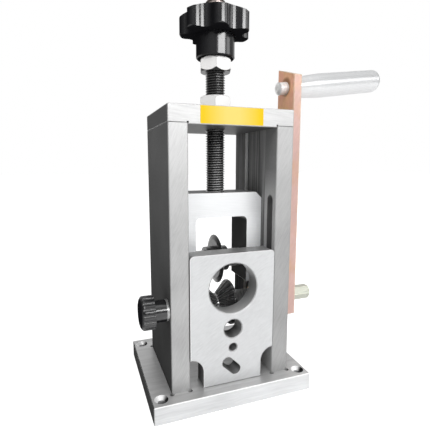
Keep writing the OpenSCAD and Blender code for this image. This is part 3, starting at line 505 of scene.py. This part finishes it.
def plating(pink, gold):
    def recipe(tree, spot):
        place = place_on(tree)
        film = ramp_between(tree, noise(tree, place, scale=38.0, detail=3.0)[0], 0.48, 0.68, pink, gold)
        off_bolt = parts_of(tree, vector_node(tree, "SUBTRACT", place, bolt_middle))
        away = radius_of(tree, off_bolt["Y"], off_bolt["Z"])
        # Painted shade: a brown ring round the bolt.
        return ramp_between(tree, away, ring_inner, ring_outer, painted_bolt_shade, film)
    return recipe


dress(metal("pinkish plating", plating((0.60, 0.40, 0.36, 1), (0.60, 0.37, 0.25, 1)),
            side=plating((0.90, 0.46, 0.31, 1), (0.88, 0.52, 0.25, 1)), level=(0.66, 0.50, 0.40, 1),
            lean=STEEP, lines=0.08, density=500.0, stretch=0.3, metallic=0.25, rough=0.42, mirror=0.3,
            edge=(0.62, 0.60, 0.42, 1), edge_width=1.1 * MM), "crank_arm")


# %% [markdown]
# The nuts and the small washer are bright zinc. In the photograph the nuts' left flats are a little
# brighter than the right ones, and the chamfers that look down are nearly black, so the left flats get
# painted light and the chamfers painted shade. The bolt's end is nearly white and rough, and the drive
# shaft looks yellowish. They are small, so tones by the way that a face looks and an edge line are enough.

# %% Nuts, washers and bolt
chamfer_slope = -0.15


def nut_painted_light(tree, spot):
    looks = parts_of(tree, way_of(tree))
    # Painted light on the left flats, painted shade on the chamfers that look down.
    flats = ramp_between(tree, looks["X"], -0.3, 0.3, grey(0.97, 0.01), grey(0.78, 0.01))
    return mix_colour(tree, math_node(tree, "LESS_THAN", looks["Z"], chamfer_slope), flats, grey(0.02))


dress(metal("bright zinc", nut_painted_light, level=grey(0.8), under=grey(0.02), lines=0.015, density=250.0,
            stretch=1.0, bump=0.003 * MM, metallic=0.2, rough=0.3, rough_swing=0.02, edge=grey(0.16),
            edge_width=0.8 * MM), "lock_nut", "jam_nut", "handle_washer")
dress(metal("plain washer", grey(0.34), lines=0.1, rough=0.3, edge=grey(0.5)), "clamp_washer")
dress(metal("threaded bolt end", grey(0.82, 0.01), lean=ALONG_X, lines=0.45, density=60.0, stretch=20.0,
            bump=0.3 * MM, metallic=0.3, rough=0.36, edge=grey(0.35)), "handle_bolt")
dress(metal("yellow zinc", (0.48, 0.50, 0.43, 1), lean=ALONG_X, lines=0.1, metallic=0.35, rough=0.3,
            edge=(0.78, 0.78, 0.6, 1)), "drive_shaft")


# %% [markdown]
# The feed screw is black in the roots of its thread and bright on its crests, a painted highlight that is
# painted brighter towards the bottom, and its end above the knob is bare. Edge lines would be too bright on
# so many ridges, so roots and crests are told apart by their distance from the screw's axis.

# %% Feed screw
rod_low, rod_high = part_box("feed_screw")
rod_radius = (rod_high.x - rod_low.x) / 2
rod_axis = Vector(((rod_low.x + rod_high.x) / 2, (rod_low.y + rod_high.y) / 2, 0))
root_radius, crest_radius = 7.0 * MM, 7.9 * MM
bare_length = 7 * MM


def crests(tree, spot):
    away = radius_of(tree, spot["X"], math_node(tree, "SUBTRACT", spot["Y"], rod_axis.y))
    # Painted light: the crests are brighter towards the bottom.
    lit_crest_tone = ramp_between(tree, spot["Z"], 165 * MM, 235 * MM, grey(0.85), grey(0.16))
    thread = ramp_between(tree, away, root_radius, crest_radius, grey(0.014), lit_crest_tone)
    bare_end = math_node(tree, "GREATER_THAN", spot["Z"], rod_high.z - bare_length)
    return mix_colour(tree, bare_end, thread, (0.50, 0.43, 0.40, 1))


screw_finish = metal("black thread with painted crest light", crests, under=grey(0.07), lines=0.08, density=500.0,
                     stretch=0.6, metallic=0.7, rough=0.28, rough_swing=0.04)
dress(screw_finish, "feed_screw")


# %% [markdown]
# The other metal parts are turned or ground, and many of them are hidden, so one tone each is enough. The
# blade and the roller are dark with bright edges, which are painted highlights, and the grip is smooth with
# very faint rings.

# %% Turned and ground parts
dress(metal("turned steel", grey(0.55), lean=ALONG_X, lines=0.15, density=120.0, stretch=20.0, rough=0.3),
      "guide_pins", "clamp_stud", "blade_axle", "axle_spacers", "screw_pins", "knob_bush", "roller_key",
      "shaft_sleeves", "arm_spacer")
dress(metal("ground blade", grey(0.10), lines=0.3, rough=0.3, edge=grey(0.5), edge_width=0.4 * MM),
      "cutting_blade", "blade_hub", "blade_clamp_ring")
dress(metal("hardened roller", grey(0.10), lines=0.04, rough=0.24, edge=grey(0.9)), "feed_roller")
dress(metal("bronze", (0.45, 0.3, 0.14, 1), lines=0.1), "left_shaft_bush", "right_shaft_bush")
dress(metal("satin grip", grey(0.62, -0.01), lean=ALONG_X, lines=0.05, density=60.0, stretch=30.0,
            bump=0.005 * MM, rough=0.34, rough_swing=0.04), "handle_grip")
dress(metal("black oxide", grey(0.06), lines=0.08, density=500.0, stretch=0.6, metallic=0.7, rough=0.3,
            rough_swing=0.04, edge=grey(0.45), edge_width=0.3 * MM),
      "base_screws", "top_screws", "axle_grub_screws", "arm_grub_screw")


# %% [markdown]
# The two knobs are moulded in black plastic with a gloss skin. Moulded skins are never
# quite flat, so a broad, very low bump bends their reflections a little, and a fine noise
# changes their gloss from spot to spot. The gloss is a coat over a dull body. It fades on
# faces that look down or to the left, because those stay black in the photograph.

# %% Black plastic
def plastic(name, colour, rough, ripple, coat=0.9):
    material, tree, surface = new_finish(name)
    place = place_on(tree)
    skin = noise(tree, place, scale=160.0, detail=2.0)[0]
    grain = noise(tree, place, scale=900.0, detail=3.0)[0]
    tree.links.new(spread(tree, grain, (0.35, 0.75), (rough, rough + 0.1)), surface.inputs["Roughness"])
    paler = tuple(part * 1.6 for part in colour[:3]) + (1,)
    tree.links.new(mix_colour(tree, grain, colour, paler), surface.inputs["Base Color"])
    relief = add(tree, "ShaderNodeBump", {"Height": skin, "Distance": ripple, "Strength": 0.5})
    tree.links.new(relief.outputs[0], surface.inputs["Normal"])
    looks = parts_of(tree, way_of(tree))
    down_or_left = math_node(tree, "MINIMUM", looks["Z"], looks["X"])
    tree.links.new(spread(tree, down_or_left, (-0.95, -0.5), (0.0, coat)), surface.inputs["Coat Weight"])
    surface.inputs["Coat IOR"].default_value = 1.7
    surface.inputs["Coat Roughness"].default_value = 0.18
    surface.inputs["Specular IOR Level"].default_value = 0.0
    return material


dress(plastic("black gloss plastic", (0.008, 0.008, 0.009, 1), rough=0.16, ripple=0.02 * MM),
      "star_knob", "clamp_knob")


# %% [markdown]
# The feed screw has a metric thread: 2 mm pitch on 16 mm, with a flat root and a flat
# crest. It could be swept along a helix. Every turn is the same, so here Geometry Nodes
# bend a flat grid round the axis: its rows follow the helix, four to a turn, at the
# corners of the thread's profile. This part works out where on its turn a row lies. The
# root takes a quarter of the pitch, the crest an eighth and the two flanks the rest.

# %% Thread profile
rod_pitch = 2 * MM
root_depth = 1.08 * MM
end_chamfer = 1.5 * MM
corners_in_turn = 4.0
root_share, flank_share, crest_share = 0.25, 0.3125, 0.125
rises = ((0.5, root_share), (1.5, flank_share), (2.5, crest_share))


def row_on_turn(tree, row):
    """Gives a row's turn, how far up that turn it begins, and whether it is on the crest."""
    row_of_four = math_node(tree, "DIVIDE", math_node(tree, "ADD", row, 0.25), corners_in_turn)
    turn = math_node(tree, "FLOOR", row_of_four)
    step = math_node(tree, "SUBTRACT", row, math_node(tree, "MULTIPLY", turn, corners_in_turn))
    phase = 0.0
    for corner, rise in rises:
        past = math_node(tree, "GREATER_THAN", step, corner)
        phase = math_node(tree, "MULTIPLY_ADD", past, rise, phase)
    return turn, phase, math_node(tree, "GREATER_THAN", step, 1.5)


print("shares of the pitch:", root_share, flank_share, crest_share, flank_share)


# %% [markdown]
# The tree takes the thread's sizes as named inputs, so it would serve another rod as
# well. It sets each point of the grid by its angle, its height and its distance from the
# axis. Near the ends the distance is held back, which gives the chamfers.

# %% Thread tree
def thread_tree():
    tree = bpy.data.node_groups.new("thread", "GeometryNodeTree")
    sockets = tree.interface
    for label, kind, value in (("Radius", FLOAT, rod_radius), ("Depth", FLOAT, root_depth),
                               ("Pitch", FLOAT, rod_pitch), ("Low", FLOAT, 0.0),
                               ("High", FLOAT, 50 * MM), ("Chamfer", FLOAT, end_chamfer),
                               ("Turns", "NodeSocketInt", 10), ("Facets", "NodeSocketInt", 48)):
        sockets.new_socket(label, in_out="INPUT", socket_type=kind).default_value = value
    sockets.new_socket("Finish", in_out="INPUT", socket_type="NodeSocketMaterial")
    sockets.new_socket("Geometry", in_out="OUTPUT", socket_type="NodeSocketGeometry")
    given = tree.nodes.new("NodeGroupInput").outputs

    def calc(operation, *values):
        return math_node(tree, operation, *values)

    rows = calc("MULTIPLY_ADD", given["Turns"], corners_in_turn, 1.0)
    columns = calc("ADD", given["Facets"], 1.0)
    grid = add(tree, "GeometryNodeMeshGrid", {"Size X": 1.0, "Size Y": 1.0, "Vertices X": columns,
                                              "Vertices Y": rows}).outputs["Mesh"]
    spot = parts_of(tree, tree.nodes.new("GeometryNodeInputPosition").outputs[0])
    share = calc("ADD", spot["X"], 0.5)
    row = calc("ROUND", calc("MULTIPLY", calc("ADD", spot["Y"], 0.5), calc("SUBTRACT", rows, 1.0)))
    turn, phase, crest = row_on_turn(tree, row)
    climb = calc("ADD", calc("ADD", turn, phase), share)
    height = calc("MULTIPLY_ADD", climb, given["Pitch"], calc("SUBTRACT", given["Low"], given["Pitch"]))
    root = calc("SUBTRACT", given["Radius"], given["Depth"])
    raw = calc("MULTIPLY_ADD", crest, given["Depth"], root)
    above, below = calc("SUBTRACT", height, given["Low"]), calc("SUBTRACT", given["High"], height)
    near_end = calc("MINIMUM", above, below)
    allowed = calc("ADD", calc("SUBTRACT", given["Radius"], given["Chamfer"]), near_end)
    reach = calc("MINIMUM", raw, allowed)
    angle = calc("MULTIPLY", share, math.tau)
    across = calc("MULTIPLY", reach, calc("COSINE", angle))
    deep = calc("MULTIPLY", reach, calc("SINE", angle))
    goal = add(tree, "ShaderNodeCombineXYZ", {"X": across, "Y": deep, "Z": height}).outputs[0]
    bent = add(tree, "GeometryNodeSetPosition", {"Geometry": grid, "Position": goal}).outputs[0]
    welded = add(tree, "GeometryNodeMergeByDistance", {"Geometry": bent, "Distance": 0.002 * MM}).outputs[0]
    real = add(tree, "GeometryNodeRealizeInstances", {"Geometry": welded}).outputs[0]
    made = add(tree, "GeometryNodeSetMaterial", {"Geometry": real, "Material": given["Finish"]}).outputs[0]
    tree.links.new(made, tree.nodes.new("NodeGroupOutput").inputs["Geometry"])
    return tree


threads = thread_tree()
print("thread tree:", len(threads.nodes), "nodes")


# %% [markdown]
# A tree only acts as a modifier on an object. The export wants plain meshes, so the tree
# runs once on an empty object and its result is kept.

# %% Run a tree
def grown(name, tree, values):
    """Runs a tree with the given inputs and returns its result as a plain mesh object."""
    carrier = into_scene(name, bpy.data.meshes.new(name + " seed"))
    modifier = carrier.modifiers.new("tree", "NODES")
    modifier.node_group = tree
    for item in tree.interface.items_tree:
        if item.in_out == "INPUT" and item.name in values:
            modifier[item.identifier] = values[item.name]
    seen = carrier.evaluated_get(bpy.context.evaluated_depsgraph_get())
    mesh = bpy.data.meshes.new_from_object(seen)
    carrier.modifiers.remove(modifier)
    carrier.data = mesh
    return carrier


# %% [markdown]
# The grid is a little longer than the rod. Cutting it at both ends and closing the cuts
# gives a sound solid. Other plain lengths are turned from a profile of points.

# %% Cut and turned shapes
def trimmed(mesh, low, high):
    """Cuts a tube along Z at both ends and closes the cuts."""
    shape = bmesh.new()
    shape.from_mesh(mesh)
    for height, direction in ((low, -1), (high, 1)):
        everything = shape.verts[:] + shape.edges[:] + shape.faces[:]
        bmesh.ops.bisect_plane(shape, geom=everything, plane_co=(0, 0, height), plane_no=(0, 0, direction),
                               clear_outer=True)
    bmesh.ops.holes_fill(shape, edges=[e for e in shape.edges if e.is_boundary], sides=0)
    bmesh.ops.triangulate(shape, faces=[f for f in shape.faces if len(f.verts) > 4])
    bmesh.ops.recalc_face_normals(shape, faces=shape.faces[:])
    shape.to_mesh(mesh)
    shape.free()


def turned_solid(mesh, profile, facets):
    """Adds a closed solid, turned round Z from (radius, height) points, to a mesh."""
    shape = bmesh.new()
    shape.from_mesh(mesh)
    rings = []
    for radius, height in profile:
        if radius == 0:
            rings.append([shape.verts.new((0, 0, height))])
        else:
            angles = [math.tau * i / facets for i in range(facets)]
            rings.append([shape.verts.new((radius * math.cos(angle), radius * math.sin(angle), height))
                          for angle in angles])
    for low, high in zip(rings, rings[1:]):
        for i in range(facets):
            j = (i + 1) % facets
            corners = [low[i % len(low)], low[j % len(low)], high[j % len(high)], high[i % len(high)]]
            shape.faces.new(list(dict.fromkeys(corners)))
    shape.to_mesh(mesh)
    shape.free()


# %% [markdown]
# Below the thread the screw has a plain foot with a groove, which the yoke's pins hold.
# Thread and foot make one piece, which takes the place of the solid rod. Its flanks stay
# sharp and its turns look round, because only edges over 25 degrees are kept sharp. The
# tree gives its finish to the thread alone. The foot has none, and doesn't show, because
# it sits in the yoke's bore.

# %% Thread and foot
rod_facets = 64
thread_foot = rod_low.z + 13 * MM
spare_turns = 2
rod_turns = math.ceil((rod_high.z - thread_foot) / rod_pitch) + spare_turns
thread = grown("feed_screw_thread", threads, {
    "Radius": rod_radius, "Depth": root_depth, "Pitch": rod_pitch, "Low": thread_foot, "High": rod_high.z,
    "Chamfer": end_chamfer, "Turns": rod_turns, "Facets": rod_facets, "Finish": screw_finish})
trimmed(thread.data, thread_foot, rod_high.z)

end_radius, groove_radius = 6.5 * MM, 6 * MM
groove_low = rod_low.z + 6.7 * MM
groove_high = groove_low + 4.6 * MM
foot_top, foot_shoulder = thread_foot + 1.2 * MM, thread_foot + 0.5 * MM
turned_solid(thread.data, [(0, rod_low.z), (end_radius, rod_low.z), (rod_radius, rod_low.z + 1.5 * MM),
                           (rod_radius, groove_low), (groove_radius, groove_low),
                           (groove_radius, groove_high), (rod_radius, groove_high),
                           (rod_radius, foot_shoulder), (end_radius, foot_top), (0, foot_top)], rod_facets)
thread.data.transform(Matrix.Translation(rod_axis))
thread.data.shade_smooth()
thread.data.set_sharp_from_angle(angle=math.radians(25))
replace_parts(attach(thread, "feed"), "feed_screw")
print("feed screw:", len(thread.data.polygons), "faces")


# %% [markdown]
# The label on the front of the top plate is a thin film. It stays bare: a yellow strip
# that is strong at its ends and washed out in its middle, with a few faint streaks. It
# could be a picture, but a plain fade between two tones is enough.

# %% Label's colour
strong_yellow = (0.76, 0.51, 0.001, 1)
washed_yellow = (0.80, 0.60, 0.15, 1)
streak_tone, streak_strength = (1, 0.9, 0.7, 1), 0.03


def label_finish(left, right):
    material, tree, surface = new_finish("yellow film")
    place = place_on(tree)
    share = spread(tree, parts_of(tree, place)["X"], (left, right))
    from_middle = math_node(tree, "ABSOLUTE", math_node(tree, "SUBTRACT", share, 0.5))
    film = ramp_between(tree, from_middle, 0.1, 0.45, washed_yellow, strong_yellow)
    streaks = use_group(tree, brush_group, {"Vector": place, "Density": 700.0, "Stretch": 0.02})
    factor = math_node(tree, "MULTIPLY", streaks["Lines"], streak_strength)
    tree.links.new(mix_colour(tree, factor, film, streak_tone), surface.inputs["Base Color"])
    surface.inputs["Roughness"].default_value = 0.45
    surface.inputs["Specular IOR Level"].default_value = 0.1
    return material


# %% [markdown]
# Its shape is a thin block with rounded corners on the plate's front. It could be part of
# the plate's own finish, but a film is a thing of its own and has an edge.

# %% Label
plate_low, plate_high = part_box("top_plate")
film_thickness, corner_radius = 0.12 * MM, 0.4 * MM
label_left, label_right = -26.4 * MM, 23.4 * MM
label_low, label_high = plate_high.z - 13.0 * MM, plate_high.z - 0.5 * MM
label_face = plate_low.y - film_thickness
middle = Vector(((label_left + label_right) / 2, (label_face + plate_low.y) / 2,
                 (label_low + label_high) / 2))
size = Vector((label_right - label_left, plate_low.y - label_face, label_high - label_low))

shape = bmesh.new()
bmesh.ops.create_cube(shape, size=1)
to_size = Matrix.Translation(middle) @ Matrix.Diagonal(size.to_4d())
bmesh.ops.transform(shape, matrix=to_size, verts=shape.verts)
short_edges = [e for e in shape.edges if abs(e.verts[0].co.y - e.verts[1].co.y) > size.y / 2]
bmesh.ops.bevel(shape, geom=short_edges, offset=corner_radius, segments=3, affect="EDGES", profile=0.5)
label = into_scene("label", bpy.data.meshes.new("label"))
shape.to_mesh(label.data)
shape.free()
label.data.materials.append(label_finish(label_left, label_right))
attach(label, "frame")
print("label:", [round(side / MM, 2) for side in size], "mm")


# %% [markdown]
# The floor is pale and keeps the tool's shadow. Where the camera, or a reflection, sees
# it, a little light of its own lifts it to white, so that it meets the white backdrop.
# More lamps could whiten it too, but they would wash out the tool.

# %% Floor
floor_half = 6.0
floor_lift = 0.65


def background_ray(tree):
    """One for what the camera, a reflection or a glass pane sees, and nought for light."""
    path = add(tree, "ShaderNodeLightPath").outputs
    seen = math_node(tree, "MAXIMUM", path["Is Camera Ray"], path["Is Glossy Ray"])
    return math_node(tree, "MAXIMUM", seen, path["Is Transmission Ray"])


floor = into_scene("floor", bpy.data.meshes.new("floor"))
corners = [(x * floor_half, y * floor_half, 0) for x, y in ((-1, -1), (1, -1), (1, 1), (-1, 1))]
floor.data.from_pydata(corners, [], [(0, 1, 2, 3)])
floor_paint = bpy.data.materials.new("pale floor")
floor_paint.use_nodes = True
tree = floor_paint.node_tree
tree.nodes.clear()
matt = add(tree, "ShaderNodeBsdfDiffuse", {"Color": grey(0.86)}).outputs[0]
strength = math_node(tree, "MULTIPLY", background_ray(tree), floor_lift)
lift = add(tree, "ShaderNodeEmission", {"Color": grey(1.0), "Strength": strength}).outputs[0]
both = add(tree, "ShaderNodeAddShader", {0: matt, 1: lift}).outputs[0]
tree.links.new(both, add(tree, "ShaderNodeOutputMaterial").inputs["Surface"])
floor.data.materials.append(floor_paint)
floor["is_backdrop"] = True
print("floor:", 2 * floor_half, "m wide")


# %% [markdown]
# A product is photographed before a white backdrop, with soft boxes in an otherwise
# darker room. The world is white behind the tool, darker in front of it and pale
# overhead, like a studio ceiling, which is what the metal and the gloss knobs mirror.

# %% World
room_light = 0.5
world = bpy.data.worlds.new("studio")
bpy.context.scene.world = world
world.use_nodes = True
tree = world.node_tree
tree.nodes.clear()
direction = add(tree, "ShaderNodeTexCoord").outputs["Generated"]
to_backdrop = (math.sin(camera_turn), math.cos(camera_turn), 0)
room = spread(tree, vector_node(tree, "DOT_PRODUCT", direction, to_backdrop), (0.5, 0.8), (0.3, 1.0))
ceiling = spread(tree, parts_of(tree, direction)["Z"], (0.45, 0.8), (0.0, 0.9))
camera_ray = add(tree, "ShaderNodeLightPath").outputs["Is Camera Ray"]
seen = background_ray(tree)
mirrored = math_node(tree, "MULTIPLY", math_node(tree, "MAXIMUM", room, ceiling), seen)
light = math_node(tree, "MULTIPLY", math_node(tree, "SUBTRACT", 1.0, seen), room_light)
strength = math_node(tree, "MAXIMUM", math_node(tree, "ADD", mirrored, light), camera_ray)
sky = add(tree, "ShaderNodeBackground", {"Color": grey(1.0), "Strength": strength}).outputs[0]
tree.links.new(sky, add(tree, "ShaderNodeOutputWorld").inputs["Surface"])
print("world:", world.name)


# %% [markdown]
# Four soft boxes. The key light is a low, wide strip in front, a little to the right,
# which the front faces mirror. One behind its shoulder lights the crank side, one to the
# front left and high up draws the streaks on the knobs, and a weak one hangs overhead.

# %% Lamps
tool_middle = Vector((0, 0, 150 * MM))


def soft_box(name, azimuth, elevation, distance, width, height, radiance):
    """A lamp aimed at the tool. Azimuth 0 is straight in front, positive to the crank side."""
    a, e = math.radians(azimuth), math.radians(elevation)
    away = Vector((math.sin(a) * math.cos(e), -math.cos(a) * math.cos(e), math.sin(e)))
    data = bpy.data.lights.new(name, "AREA")
    data.shape = "RECTANGLE"
    data.size, data.size_y = width, height
    data.energy = radiance * math.pi * width * height
    turn = away.to_track_quat("Z", "Y").to_matrix().to_4x4()
    into_scene(name, data).matrix_world = Matrix.Translation(tool_middle + away * distance) @ turn
    print("lamp:", name, round(data.energy, 2), "W")


soft_box("key", azimuth=17, elevation=23, distance=1.4, width=1.0, height=0.25, radiance=12.0)
soft_box("shoulder", azimuth=60, elevation=20, distance=1.3, width=0.5, height=0.4, radiance=2.5)
soft_box("front left", azimuth=-48, elevation=48, distance=1.5, width=0.8, height=0.8, radiance=2.8)
soft_box("overhead", azimuth=0, elevation=78, distance=1.3, width=1.0, height=1.0, radiance=0.7)


# %% [markdown]
# A filmic view would grey the white backdrop and soften the colours. The Standard view
# shows each colour about as it is written.

# %% View
scene = bpy.context.scene
scene.view_settings.view_transform = "Standard"
print("view:", scene.view_settings.view_transform)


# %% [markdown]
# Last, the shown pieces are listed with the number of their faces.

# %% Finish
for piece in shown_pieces():
    print(piece.name, len(piece.data.polygons))
